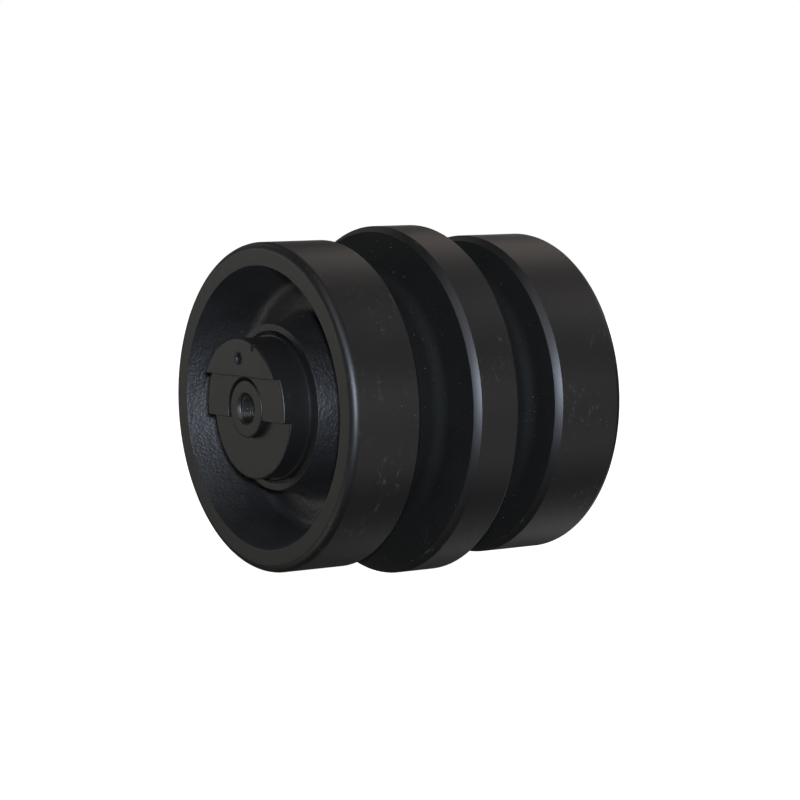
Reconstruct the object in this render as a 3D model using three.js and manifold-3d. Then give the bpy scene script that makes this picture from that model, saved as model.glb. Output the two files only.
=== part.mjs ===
// Track roller for a crawler undercarriage: a flanged roller shell that turns on a fixed, oil-filled shaft,
// held by an end collar at each end. Millimetres, +Z up, the axle along Y, origin at the roller's centre.

import Module from 'manifold-3d';
import * as THREE from 'three';
import { mergeVertices } from 'three/addons/utils/BufferGeometryUtils.js';

const wasm = await Module();
wasm.setup();

// ---- Driving dimensions: shell, outside ----
const TREAD_RADIUS = 120;
const FLANGE_HEIGHT = 9;
const FLANGE_WIDTH = 40;
const GROOVE_WIDTH = 40;
const GROOVE_DEPTH = 30;
const GROOVE_FLANK_LEAN = 3;
const GROOVE_FILLET = 9;
const RIM_WIDTH = 60;
const TREAD_EDGE_RADIUS = 5;

// ---- Shell, end cup and hub ----
const RIM_WALL = 17;
const CUP_DEPTH = 46;
const CUP_TAPER = 10.5;
const CUP_FILLET = 8;
const HUB_INSET = 10.2;
const HUB_WALL = 5.4;
const HUB_TAPER = 6.6;
const HUB_FILLET = 7;
const EDGE_BREAK = 1;
const RESERVOIR_DEPTH = 5.7;

// ---- Shaft ----
const SHAFT_RADIUS = 30;
const NECK_RADIUS = 20.7;
const NECK_LENGTH = 28.5;
const NECK_INSET = 0.5;
const PORT_RADIUS = 10.4;
const PORT_DEPTH = 24;
const PORT_CHAMFER = 1.6;
const OIL_DRILL_RADIUS = 4;
const PLUG_RADIUS = 5.5;
const PLUG_LENGTH = 9.5;
const PLUG_SOCKET = 5;
const PLUG_SOCKET_DEPTH = 4;

// ---- Bushes and thrust rings ----
const BUSH_WALL = 5.7;
const BUSH_LENGTH = 49;
const BUSH_FLANGE_REACH = 6;
const BUSH_FLANGE_WIDTH = 4;
const BUSH_GROOVE_WIDTH = 5;
const BUSH_GROOVE_DEPTH = 1.2;
const THRUST_RING_WIDTH = 2;
const DOWEL_RADIUS = 1.9;
const DOWEL_LENGTH = 13.5;

// ---- Face seals ----
const NOSE_WALL = 7.7;
const SEAL_RING_WALL = 4.4;
const SEAL_RING_LENGTH = 11;
const SEAL_LIP_WIDTH = 3;
const SEAL_LIP_REACH = 7;
const TORIC_SECTION_RADIUS = 2.8;
const SEAL_FACE_INSET = 12.3;
const SEAL_BACK_ROOM = 2;
const ORING_SECTION_RADIUS = 1.6;
const ORING_INSET = 10;

// ---- End collars ----
const SKIRT_WALL = 2.2;
const COLLAR_STAND_OUT = 17.2;
const LAND_STEP = 6;
const SEGMENT_STEP = 5.4;
const LAND_LOW_EDGE = -7.2;
const LAND_HIGH_EDGE = 24;
const RECESS_ROOM = 2.1;
const BEAD_REACH = 1.2;
const BEAD_STAND_OUT = 2.7;
const COLLAR_EDGE_BREAK = 1.1;
const NOTCH_WIDTH = 7;
const NOTCH_OFFSET = 17.5;
const NOTCH_DEPTH = 9.5;
const LOCK_PIN_RADIUS = 4;
const LOCK_PIN_INSET = 9;
const LOCK_PIN_TOP = 15;
const SCREW_RADIUS = 3.1;
const SCREW_LENGTH = 10;
const SCREW_SINK = 2.6;
const SCREW_COUNTERSINK = 2;
const SCREW_SOCKET = 3;
const SCREW_SOCKET_DEPTH = 3;
const SCREW_HEIGHT = 36.6;

// ---- Clearances and facets ----
const FIT_GAP = 0.3;
const RUNNING_GAP = 0.6;
const TORIC_GAP = 0.4;
const LABYRINTH_GAP = 2.4;
const LARGE_FACETS = 48;
const SMALL_FACETS = 24;
const PIN_FACETS = 12;
const TORIC_FACETS = 6;
const FILLET_STEPS = 2;

// ---- Radii that follow, from the shaft outwards ----
const runningBore = SHAFT_RADIUS + FIT_GAP;
const bushRadius = runningBore + BUSH_WALL;
const bushFlangeRadius = bushRadius + BUSH_FLANGE_REACH;
const noseRadius = runningBore + NOSE_WALL;
const sealBore = noseRadius + RUNNING_GAP;
const sealRadius = sealBore + SEAL_RING_WALL;
const toricRadius = sealRadius + TORIC_GAP + TORIC_SECTION_RADIUS;
const pocketRadius = toricRadius + TORIC_SECTION_RADIUS + TORIC_GAP;
const collarRadius = pocketRadius + SKIRT_WALL;
const hubBore = collarRadius + LABYRINTH_GAP;
const hubRadius = hubBore + HUB_WALL;
const flangePocketRadius = bushFlangeRadius + RUNNING_GAP;
const cupMouthRadius = TREAD_RADIUS - RIM_WALL;

// ---- Places along the axle that follow, from the centre outwards ----
const flangeSide = FLANGE_WIDTH / 2;
const rimSide = flangeSide + GROOVE_WIDTH;
const shellEnd = rimSide + RIM_WIDTH;
const cupFloor = shellEnd - CUP_DEPTH;
const hubFace = shellEnd - HUB_INSET;
const sealPlane = hubFace - SEAL_FACE_INSET;
const sealHalf = FIT_GAP / 2;
const lipBack = sealHalf + SEAL_LIP_WIDTH;
const pocketDepth = sealHalf + SEAL_RING_LENGTH + SEAL_BACK_ROOM;
const shellPocketFloor = sealPlane - pocketDepth;
const collarPocketFloor = sealPlane + pocketDepth;
const bushOuterFace = shellPocketFloor - THRUST_RING_WIDTH - FIT_GAP;
const bushFlangeBack = bushOuterFace - BUSH_FLANGE_WIDTH;
const bushInnerEnd = bushFlangeBack - BUSH_LENGTH;
const reservoirEnd = bushInnerEnd - RESERVOIR_DEPTH;
const lowFace = hubFace + COLLAR_STAND_OUT;
const landFace = lowFace + LAND_STEP;
const segmentFace = landFace + SEGMENT_STEP;
const shaftEnd = landFace - NECK_INSET;
const shaftShoulder = shaftEnd - NECK_LENGTH;

// ---- Small helpers ----

/** Corner [radius, place, fillet] list to a closed outline, each fillet no larger than its edges allow. */
function roundedOutline(corners) {
  const outline = [];
  corners.forEach(([radius, place, fillet = 0], index) => {
    const corner = new THREE.Vector2(radius, place);
    const before = new THREE.Vector2(...corners.at(index - 1).slice(0, 2)).sub(corner);
    const after = new THREE.Vector2(...corners[(index + 1) % corners.length].slice(0, 2)).sub(corner);
    if (fillet === 0) {
      outline.push(corner);
      return;
    }
    const halfAngle = Math.acos(before.dot(after) / (before.length() * after.length())) / 2;
    const room = 0.48 * Math.min(before.length(), after.length());
    const setback = Math.min(fillet / Math.tan(halfAngle), room);
    const start = corner.clone().addScaledVector(before.normalize(), setback);
    const end = corner.clone().addScaledVector(after.normalize(), setback);
    const reach = setback / Math.cos(halfAngle);
    const centre = corner.clone().addScaledVector(before.add(after).normalize(), reach);
    const from = start.clone().sub(centre).angle();
    const sweep = THREE.MathUtils.euclideanModulo(end.clone().sub(centre).angle() - from + Math.PI,
      2 * Math.PI) - Math.PI;
    const arcRadius = start.distanceTo(centre);
    for (let step = 0; step <= FILLET_STEPS; step += 1) {
      const angle = from + sweep * step / FILLET_STEPS;
      outline.push(new THREE.Vector2(Math.cos(angle), Math.sin(angle)).multiplyScalar(arcRadius).add(centre));
    }
  });
  return outline;
}

/** A body turned about Y from corners that run round its section. */
function turned(corners, facets) {
  const outline = roundedOutline(corners);
  const closed = [...outline, outline[0]];
  return new THREE.LatheGeometry(closed, facets);
}

/** A ring of round section about Y, its centre circle at the given place. */
function roundRing(radius, section, place) {
  const ring = new THREE.TorusGeometry(radius, section, TORIC_FACETS, SMALL_FACETS);
  return ring.rotateX(Math.PI / 2).translate(0, place, 0);
}

/** A geometry as a manifold solid. */
function solid(geometry) {
  const bare = geometry.clone();
  bare.deleteAttribute('normal');
  bare.deleteAttribute('uv');
  const merged = mergeVertices(bare, 1e-4);
  const vertProperties = Float32Array.from(merged.attributes.position.array);
  const triVerts = Uint32Array.from(merged.index.array);
  return new wasm.Manifold(new wasm.Mesh({ numProp: 3, vertProperties, triVerts }));
}

/** A manifold solid back to a geometry. */
function geometryOf(body) {
  const mesh = body.getMesh();
  const geometry = new THREE.BufferGeometry();
  geometry.setAttribute('position', new THREE.BufferAttribute(mesh.vertProperties, 3));
  geometry.setIndex(new THREE.BufferAttribute(mesh.triVerts, 1));
  geometry.computeVertexNormals();
  return geometry;
}

/** The base geometry less each cutter. */
function cut(base, ...cutters) {
  return geometryOf(cutters.reduce((body, cutter) => body.subtract(solid(cutter)), solid(base)));
}

/** A rod along Y between two places, at x and z. */
function rodAlongY(radius, from, to, x = 0, z = 0, facets = PIN_FACETS) {
  const rod = new THREE.CylinderGeometry(radius, radius, to - from, facets);
  return rod.translate(x, (from + to) / 2, z);
}

/** A cone along Y that widens towards its outer end. */
function countersink(innerRadius, face, depth, x = 0, z = 0) {
  const over = FIT_GAP;
  const cone = new THREE.CylinderGeometry(innerRadius + depth + over, innerRadius, depth + over, SMALL_FACETS);
  return cone.translate(x, face - (depth - over) / 2, z);
}

/** A rod along Z between two heights, at x and y. */
function rodAlongZ(radius, from, to, x, y) {
  const rod = new THREE.CylinderGeometry(radius, radius, to - from, PIN_FACETS);
  return rod.rotateX(Math.PI / 2).translate(x, y, (from + to) / 2);
}

/** A box between two corners. */
function boxBetween(low, high) {
  const size = high.map((value, axis) => value - low[axis]);
  const middle = high.map((value, axis) => (value + low[axis]) / 2);
  return new THREE.BoxGeometry(...size).translate(...middle);
}

/** A hexagonal prism along Y, by its width across flats. */
function hexAlongY(acrossFlats, from, to, x = 0, z = 0) {
  return rodAlongY(acrossFlats / Math.sqrt(3), from, to, x, z, 6);
}

// ---- Finishes ----
const finishes = {
  paintedIron: { color: 0x24211d, roughness: 0.5, metalness: 0.2 },
  paintedCollar: { color: 0x302e2a, roughness: 0.42, metalness: 0.3 },
  shaftSteel: { color: 0x35332f, roughness: 0.4, metalness: 0.5 },
  bronze: { color: 0x9a7440, roughness: 0.35, metalness: 0.9 },
  sealIron: { color: 0x8d8f90, roughness: 0.25, metalness: 0.9 },
  rubber: { color: 0x141414, roughness: 0.85, metalness: 0 },
  darkSteel: { color: 0x2a2a2b, roughness: 0.4, metalness: 0.7 },
};

/** A named sub-part with a material of its own. */
function piece(name, geometry, finish) {
  const mesh = new THREE.Mesh(geometry, new THREE.MeshStandardMaterial(finishes[finish]));
  mesh.name = name;
  return mesh;
}

// ---- Roller shell ----

/** One half of the shell's section, from the centre flange round the end to the oil reservoir. */
function shellHalfSection() {
  const grooveRadius = TREAD_RADIUS - GROOVE_DEPTH;
  const reservoirRadius = bushRadius + FIT_GAP + RESERVOIR_DEPTH;
  return [
    [TREAD_RADIUS + FLANGE_HEIGHT, flangeSide, TREAD_EDGE_RADIUS],
    [grooveRadius, flangeSide + GROOVE_FLANK_LEAN, GROOVE_FILLET],
    [grooveRadius, rimSide - GROOVE_FLANK_LEAN, GROOVE_FILLET],
    [TREAD_RADIUS, rimSide, TREAD_EDGE_RADIUS],
    [TREAD_RADIUS, shellEnd, TREAD_EDGE_RADIUS],
    [cupMouthRadius, shellEnd],
    [cupMouthRadius - CUP_TAPER, cupFloor, CUP_FILLET],
    [hubRadius + HUB_TAPER, cupFloor, HUB_FILLET],
    [hubRadius, hubFace - EDGE_BREAK],
    [hubRadius - EDGE_BREAK, hubFace],
    [hubBore, hubFace],
    [hubBore, sealPlane - lipBack - RUNNING_GAP],
    [pocketRadius, sealPlane - lipBack - RUNNING_GAP],
    [pocketRadius, shellPocketFloor],
    [flangePocketRadius, shellPocketFloor],
    [flangePocketRadius, bushFlangeBack - FIT_GAP],
    [bushRadius + FIT_GAP, bushFlangeBack - FIT_GAP],
    [bushRadius + FIT_GAP, bushInnerEnd - FIT_GAP],
    [reservoirRadius, reservoirEnd - FIT_GAP],
  ];
}

/** The hole for a bush dowel, at the end that the sign names. */
function dowelHole(sign) {
  const depth = bushOuterFace - FIT_GAP - DOWEL_LENGTH - FIT_GAP;
  const ends = [sign * depth, sign * (bushOuterFace + FIT_GAP)].sort((a, b) => a - b);
  return rodAlongY(DOWEL_RADIUS + FIT_GAP, ...ends, sign * dowelOffset);
}

const dowelOffset = bushRadius + BUSH_FLANGE_REACH / 2;

function rollerShell() {
  const half = shellHalfSection();
  const mirrored = half.map(([radius, place, fillet]) => [radius, -place, fillet]).reverse();
  const body = turned([...mirrored, ...half], LARGE_FACETS);
  return piece('roller_shell', cut(body, dowelHole(1), dowelHole(-1)), 'paintedIron');
}

// ---- Shaft ----

/** One half of the shaft's section, from its middle to the neck's end. */
function shaftHalfSection() {
  const grooveMiddle = shellPocketFloor + ORING_INSET;
  const grooveHalf = ORING_SECTION_RADIUS + FIT_GAP;
  const grooveRadius = SHAFT_RADIUS - 2 * ORING_SECTION_RADIUS - FIT_GAP / 2;
  return [
    [SHAFT_RADIUS, grooveMiddle - grooveHalf],
    [grooveRadius, grooveMiddle - grooveHalf],
    [grooveRadius, grooveMiddle + grooveHalf],
    [SHAFT_RADIUS, grooveMiddle + grooveHalf],
    [SHAFT_RADIUS, shaftShoulder],
    [NECK_RADIUS, shaftShoulder],
    [NECK_RADIUS, shaftEnd - EDGE_BREAK],
    [NECK_RADIUS - EDGE_BREAK, shaftEnd],
  ];
}

/** The hole that a lock pin crosses, in one end's own frame. */
function lockPinHole() {
  return rodAlongZ(LOCK_PIN_RADIUS + FIT_GAP, -collarRadius - FIT_GAP, LOCK_PIN_TOP + FIT_GAP,
    NECK_RADIUS, lowFace - LOCK_PIN_INSET);
}

/** The threaded port, plug seat and pin groove at one end of the shaft. */
function shaftEndCuts() {
  const portFloor = shaftEnd - PORT_DEPTH;
  const plugFloor = portFloor - PLUG_LENGTH - FIT_GAP;
  return [
    rodAlongY(PORT_RADIUS, portFloor, shaftEnd + FIT_GAP, 0, 0, SMALL_FACETS),
    countersink(PORT_RADIUS, shaftEnd, PORT_CHAMFER),
    rodAlongY(PLUG_RADIUS + FIT_GAP, plugFloor, portFloor + FIT_GAP),
    rodAlongY(OIL_DRILL_RADIUS, -FIT_GAP, plugFloor + FIT_GAP),
    lockPinHole(),
  ];
}

function shaft() {
  const half = shaftHalfSection();
  const mirrored = half.map(([radius, place]) => [radius, -place]).reverse();
  const body = turned([[0, -shaftEnd], ...mirrored, ...half, [0, shaftEnd]], SMALL_FACETS);
  const nearCuts = shaftEndCuts().map((cutter) => cutter.rotateZ(Math.PI));
  const crossDrill = rodAlongZ(OIL_DRILL_RADIUS, 0, SHAFT_RADIUS + FIT_GAP, 0, 0);
  return piece('shaft', cut(body, ...shaftEndCuts(), ...nearCuts, crossDrill), 'shaftSteel');
}

// ---- Pieces at one end, built with the end pointing to +Y ----

function flangedBush(side) {
  const grooveStart = (bushInnerEnd + bushFlangeBack - BUSH_GROOVE_WIDTH) / 2;
  const grooveEnd = grooveStart + BUSH_GROOVE_WIDTH;
  const body = turned([
    [runningBore, bushInnerEnd],
    [bushRadius, bushInnerEnd],
    [bushRadius, bushFlangeBack],
    [bushFlangeRadius, bushFlangeBack],
    [bushFlangeRadius, bushOuterFace],
    [runningBore, bushOuterFace],
    [runningBore, grooveEnd],
    [runningBore + BUSH_GROOVE_DEPTH, grooveEnd],
    [runningBore + BUSH_GROOVE_DEPTH, grooveStart],
    [runningBore, grooveStart],
  ], SMALL_FACETS);
  return piece(`${side}_flanged_bush`, cut(body, dowelHole(1)), 'bronze');
}

function bushDowel(side) {
  const end = bushOuterFace - FIT_GAP;
  return piece(`${side}_bush_dowel`,
    rodAlongY(DOWEL_RADIUS, end - DOWEL_LENGTH, end, dowelOffset), 'darkSteel');
}

function thrustRing(side) {
  const inner = runningBore + FIT_GAP;
  const outer = bushFlangeRadius - FIT_GAP;
  const start = bushOuterFace + FIT_GAP;
  const end = start + THRUST_RING_WIDTH - FIT_GAP;
  return piece(`${side}_thrust_ring`,
    turned([[inner, start], [outer, start], [outer, end], [inner, end]], SMALL_FACETS), 'bronze');
}

/** A metal seal ring; direction -1 lies inboard of the seal plane and turns, +1 outboard and stands. */
function sealRing(name, direction) {
  const corners = [
    [sealBore, sealHalf],
    [sealRadius + SEAL_LIP_REACH, sealHalf],
    [sealRadius + SEAL_LIP_REACH, lipBack],
    [sealRadius, lipBack],
    [sealRadius, sealHalf + SEAL_RING_LENGTH],
    [sealBore, sealHalf + SEAL_RING_LENGTH],
  ].map(([radius, depth]) => [radius, sealPlane + direction * depth]);
  if (direction < 0) corners.reverse();
  return piece(name, turned(corners, SMALL_FACETS), 'sealIron');
}

/** The rubber ring that carries a metal seal ring. */
function toricRing(name, direction) {
  const depth = (lipBack + sealHalf + SEAL_RING_LENGTH) / 2;
  return piece(name, roundRing(toricRadius, TORIC_SECTION_RADIUS, sealPlane + direction * depth), 'rubber');
}

function shaftOring(side) {
  const grooveRadius = SHAFT_RADIUS - 2 * ORING_SECTION_RADIUS - FIT_GAP / 2;
  const radius = grooveRadius + FIT_GAP + ORING_SECTION_RADIUS;
  return piece(`${side}_shaft_oring`,
    roundRing(radius, ORING_SECTION_RADIUS, shellPocketFloor + ORING_INSET), 'rubber');
}

function endCollar(side) {
  const over = segmentFace + FIT_GAP;
  const wide = collarRadius + FIT_GAP;
  const recessRadius = NECK_RADIUS + RECESS_ROOM;
  const body = turned([
    [runningBore, shellPocketFloor + FIT_GAP],
    [noseRadius, shellPocketFloor + FIT_GAP],
    [noseRadius, collarPocketFloor],
    [pocketRadius, collarPocketFloor],
    [pocketRadius, sealPlane + lipBack + RUNNING_GAP],
    [collarRadius + BEAD_REACH, sealPlane + lipBack + RUNNING_GAP],
    [collarRadius + BEAD_REACH, hubFace + BEAD_STAND_OUT],
    [collarRadius, hubFace + BEAD_STAND_OUT],
    [collarRadius, segmentFace - COLLAR_EDGE_BREAK],
    [collarRadius - COLLAR_EDGE_BREAK, segmentFace],
    [NECK_RADIUS + FIT_GAP, segmentFace],
    [NECK_RADIUS + FIT_GAP, shaftShoulder + FIT_GAP],
    [runningBore, shaftShoulder + FIT_GAP],
  ], LARGE_FACETS);
  const notch = boxBetween([-NOTCH_OFFSET - NOTCH_WIDTH / 2, landFace, collarRadius - NOTCH_DEPTH],
    [-NOTCH_OFFSET + NOTCH_WIDTH / 2, over, wide]);
  const screwFloor = segmentFace - SCREW_SINK - SCREW_LENGTH - FIT_GAP;
  const shaped = cut(
    body,
    boxBetween([-wide, lowFace, -wide], [wide, over, LAND_LOW_EDGE]),
    boxBetween([-wide, landFace, LAND_LOW_EDGE - FIT_GAP], [wide, over, LAND_HIGH_EDGE]),
    rodAlongY(recessRadius, lowFace, over, 0, 0, SMALL_FACETS),
    boxBetween([-recessRadius, lowFace, LAND_LOW_EDGE - FIT_GAP], [recessRadius, over, 0]),
    notch,
    rodAlongY(SCREW_RADIUS + FIT_GAP, screwFloor, over, 0, SCREW_HEIGHT),
    countersink(SCREW_RADIUS + FIT_GAP, segmentFace, SCREW_COUNTERSINK, 0, SCREW_HEIGHT),
    lockPinHole(),
  );
  return piece(`${side}_end_collar`, shaped, 'paintedCollar');
}

function lockPin(side) {
  const outerX = NECK_RADIUS + LOCK_PIN_RADIUS;
  const bottom = -Math.sqrt(collarRadius ** 2 - outerX ** 2) + FIT_GAP;
  return piece(`${side}_lock_pin`,
    rodAlongZ(LOCK_PIN_RADIUS, bottom, LOCK_PIN_TOP, NECK_RADIUS, lowFace - LOCK_PIN_INSET), 'darkSteel');
}

/** A headless screw with a hexagonal socket, its outer end at the given place. */
function socketScrew(name, radius, length, face, socket, socketDepth, z = 0) {
  const body = rodAlongY(radius, face - length, face, 0, z);
  return piece(name, cut(body, hexAlongY(socket, face - socketDepth, face + FIT_GAP, 0, z)), 'darkSteel');
}

function oilPlug(side) {
  return socketScrew(`${side}_oil_plug`, PLUG_RADIUS, PLUG_LENGTH, shaftEnd - PORT_DEPTH,
    PLUG_SOCKET, PLUG_SOCKET_DEPTH);
}

function collarScrew(side) {
  return socketScrew(`${side}_collar_screw`, SCREW_RADIUS, SCREW_LENGTH, segmentFace - SCREW_SINK,
    SCREW_SOCKET, SCREW_SOCKET_DEPTH, SCREW_HEIGHT);
}

/** Everything that is repeated at both ends. */
function endKit(side) {
  const kit = new THREE.Group();
  kit.add(
    flangedBush(side),
    bushDowel(side),
    thrustRing(side),
    sealRing(`${side}_turning_seal_ring`, -1),
    sealRing(`${side}_standing_seal_ring`, 1),
    toricRing(`${side}_turning_toric_ring`, -1),
    toricRing(`${side}_standing_toric_ring`, 1),
    shaftOring(side),
    endCollar(side),
    lockPin(side),
    collarScrew(side),
    oilPlug(side),
  );
  return kit;
}

// ---- Assembly ----
const roller = new THREE.Group();
const rightEnd = endKit('right');
const leftEnd = endKit('left');
leftEnd.rotation.z = Math.PI;
roller.add(rollerShell(), shaft(), leftEnd, rightEnd);

export default roller;
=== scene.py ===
"""Looks of a crawler track roller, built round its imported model: Y is the axle, Z is up, metres."""

import logging
import math
from dataclasses import dataclass, field
from enum import Enum
from typing import Callable, Sequence

import bmesh
import bpy
import numpy as np
from mathutils import Matrix, Vector


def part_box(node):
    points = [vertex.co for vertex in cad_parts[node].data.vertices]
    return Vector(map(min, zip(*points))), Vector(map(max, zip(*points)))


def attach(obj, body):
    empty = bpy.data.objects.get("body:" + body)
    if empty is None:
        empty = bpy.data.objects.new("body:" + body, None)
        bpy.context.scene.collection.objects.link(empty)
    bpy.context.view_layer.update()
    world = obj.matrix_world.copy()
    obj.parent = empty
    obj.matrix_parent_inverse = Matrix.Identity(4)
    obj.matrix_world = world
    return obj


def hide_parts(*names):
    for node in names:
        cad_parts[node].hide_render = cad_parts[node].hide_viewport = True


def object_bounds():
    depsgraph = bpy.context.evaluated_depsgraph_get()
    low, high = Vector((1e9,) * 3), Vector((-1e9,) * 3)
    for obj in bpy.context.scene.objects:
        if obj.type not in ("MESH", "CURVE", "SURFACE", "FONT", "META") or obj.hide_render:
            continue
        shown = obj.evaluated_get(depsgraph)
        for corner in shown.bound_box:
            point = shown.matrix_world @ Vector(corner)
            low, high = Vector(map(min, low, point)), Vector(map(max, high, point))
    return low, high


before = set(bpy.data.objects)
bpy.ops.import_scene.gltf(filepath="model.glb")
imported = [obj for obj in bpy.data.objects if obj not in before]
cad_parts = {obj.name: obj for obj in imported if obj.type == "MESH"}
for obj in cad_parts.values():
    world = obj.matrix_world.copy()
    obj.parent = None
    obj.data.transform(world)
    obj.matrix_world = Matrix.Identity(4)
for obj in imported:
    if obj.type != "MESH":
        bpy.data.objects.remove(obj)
CAD_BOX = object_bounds()

MM = 0.001
LOG = logging.getLogger("track_roller")

GAP = 0.3
PIN_HOLE_END = 60.0

SHELL_BODY = "roller_assembly"
SHAFT_BODY = "shaft_assembly"

Colour = tuple[float, float, float]


# --------------------------------------------------------------------------------------------------
# Named options
# --------------------------------------------------------------------------------------------------


class Zone(Enum):
    """What a stretch of a turned section looks like."""

    TREAD = 0
    FACE = 1
    CAST = 2
    BORE = 3
    GROOVE = 4


class Side(Enum):
    """The two ends of the axle; the value is the direction of the end along Y."""

    LEFT = -1
    RIGHT = 1

    @property
    def word(self) -> str:
        """The side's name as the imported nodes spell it."""
        return self.name.lower()

    @property
    def turn(self) -> Matrix:
        """Half a turn about Z for the left end, none for the right."""
        return Matrix.Rotation(math.pi if self is Side.LEFT else 0.0, 4, "Z")


# --------------------------------------------------------------------------------------------------
# Turned sections
# --------------------------------------------------------------------------------------------------


@dataclass(frozen=True)
class Corner:
    """A corner of a turned section, in millimetres.

    The zone and the step belong to the edge that leaves the corner: its finish, and the widest gap
    between two rows of vertices on it. The crown is the share of the full turn that the rounding
    makes: 1 is a true fillet, and less is a chamfer with a crowned face.
    """

    radius: float
    place: float
    fillet: float = 0.0
    zone: Zone = Zone.BORE
    step: float = 6.0
    crown: float = 1.0


@dataclass
class Section:
    """Corners that run round a section, closed on themselves or mirrored about the middle plane."""

    corners: Sequence[Corner]
    mirrored: bool = False
    arc_step: float = 12.0
    support: float = 0.5

    def rows(self) -> tuple[np.ndarray, list[Zone]]:
        """Works out the rows of vertices.

        Returns:
            The closed ring of (radius, place) rows, and the zone of the edge that leaves each row.
        """
        points, zones = self._walk()
        if self.mirrored:
            back = [np.array([p[0], -p[1]]) for p in reversed(points[1:-1])]
            points = points + back
            zones = zones + list(reversed(zones))
        return np.array(points), zones

    def _walk(self) -> tuple[list[np.ndarray], list[Zone]]:
        """Lays rows along every edge and arc, in order."""
        count = len(self.corners)
        stations = [self._arc(index) for index in range(count)]
        points: list[np.ndarray] = []
        zones: list[Zone] = []
        edges = count - 1 if self.mirrored else count
        for index in range(count):
            arc = stations[index]
            zone = self.corners[index].zone
            points.extend(arc)
            zones.extend([self._arc_zone(index)] * (len(arc) - 1))
            if index < edges:
                between = self._edge(arc[-1], stations[(index + 1) % count][0], self.corners[index].step)
                points.extend(between)
                zones.extend([zone] * (len(between) + 1))
        return points, zones

    def _arc_zone(self, index: int) -> Zone:
        """An arc takes the turned finish if either edge at it has one."""
        before, after = self.corners[index - 1].zone, self.corners[index].zone
        return before if Zone.TREAD is before or before is Zone.FACE else after

    def _arc(self, index: int) -> list[np.ndarray]:
        """The rows of one corner: one row when it is sharp, an arc when it is rounded."""
        corner = self.corners[index]
        here = np.array([corner.radius, corner.place])
        if corner.fillet <= 0 or (self.mirrored and index in (0, len(self.corners) - 1)):
            return [here]
        previous = self.corners[index - 1]
        following = self.corners[(index + 1) % len(self.corners)]
        before = np.array([previous.radius, previous.place]) - here
        after = np.array([following.radius, following.place]) - here
        lengths = np.linalg.norm(before), np.linalg.norm(after)
        before, after = before / lengths[0], after / lengths[1]
        half = math.acos(float(np.clip(before @ after, -1, 1))) / 2
        setback = min(corner.fillet / math.tan(half), 0.48 * min(lengths))
        start, end = here + before * setback, here + after * setback
        sweep = corner.crown * (math.pi - 2 * half)
        chord = float(np.linalg.norm(end - start))
        middle = (before + after) / np.linalg.norm(before + after)
        centre = (start + end) / 2 + middle * chord / 2 / math.tan(sweep / 2)
        start, end = start - centre, end - centre
        steps = max(2, math.ceil(math.degrees(sweep) / self.arc_step))
        cross = start[0] * end[1] - start[1] * end[0]
        turn = sweep if cross > 0 else -sweep
        return [centre + rotated(start, turn * k / steps) for k in range(steps + 1)]

    def _edge(self, start: np.ndarray, end: np.ndarray, step: float) -> list[np.ndarray]:
        """Rows between two stations, with a supporting row close to each end of a long edge."""
        length = float(np.linalg.norm(end - start))
        if length < 3 * self.support:
            return []
        count = max(1, math.ceil((length - 2 * self.support) / step))
        places = self.support + (length - 2 * self.support) * np.arange(count + 1) / count
        return [start + (end - start) * place / length for place in places]


def rotated(point: np.ndarray, angle: float) -> np.ndarray:
    """A point of the section's plane, turned about its origin by an angle in radians."""
    cos, sin = math.cos(angle), math.sin(angle)
    return np.array([cos * point[0] - sin * point[1], sin * point[0] + cos * point[1]])


def even_angles(count: int) -> np.ndarray:
    """Equal steps round a circle, in radians."""
    return np.arange(count) * 2 * math.pi / count


Relief = Callable[[np.ndarray, np.ndarray, np.ndarray], np.ndarray]


def turned_mesh(
    name: str, section: Section, angles: np.ndarray, relief: Relief | None = None
) -> bpy.types.Mesh:
    """Turns a section about the axle.

    Args:
        name: the mesh's name.
        section: the section, in millimetres.
        angles: the angles of the vertex columns.
        relief: gives how far each vertex moves along its normal, in millimetres, from the vertices'
            places, their row numbers and their angles.

    Returns:
        A closed mesh in metres whose faces carry their zone's number as material index.
    """
    rows, zones = section.rows()
    row_count, column_count = len(rows), len(angles)
    radius = np.tile(rows[:, 0], (column_count, 1))
    place = np.tile(rows[:, 1], (column_count, 1))
    angle = np.tile(angles[:, None], (1, row_count))
    if relief is not None:
        along = np.roll(rows, -1, axis=0) - np.roll(rows, 1, axis=0)
        normal = np.stack([along[:, 1], -along[:, 0]], axis=1)
        normal /= np.maximum(np.linalg.norm(normal, axis=1), 1e-9)[:, None]
        if section_area(rows) < 0:
            normal = -normal
        points = np.stack([radius * np.cos(angle), place, radius * np.sin(angle)], axis=-1)
        lift = relief(points, np.arange(row_count), angle)
        radius = radius + lift * normal[:, 0]
        place = place + lift * normal[:, 1]
    points = np.stack([radius * np.cos(angle), place, radius * np.sin(angle)], axis=-1).reshape(-1, 3) * MM
    row = np.arange(row_count)
    column = np.arange(column_count)[:, None] * row_count
    next_column = np.roll(np.arange(column_count), -1)[:, None] * row_count
    next_row = np.roll(row, -1)
    faces = np.stack([column + row, column + next_row, next_column + next_row, next_column + row], axis=-1)
    mesh = bpy.data.meshes.new(name)
    mesh.from_pydata(points.tolist(), [], faces.reshape(-1, 4).tolist())
    numbers = np.tile([zone.value for zone in zones], column_count).astype(np.int32)
    mesh.polygons.foreach_set("material_index", numbers)
    close_mesh(mesh)
    return mesh


def section_area(rows: np.ndarray) -> float:
    """Signed area of a ring of (radius, place) rows."""
    following = np.roll(rows, -1, axis=0)
    return float(np.sum(rows[:, 0] * following[:, 1] - following[:, 0] * rows[:, 1])) / 2


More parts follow.
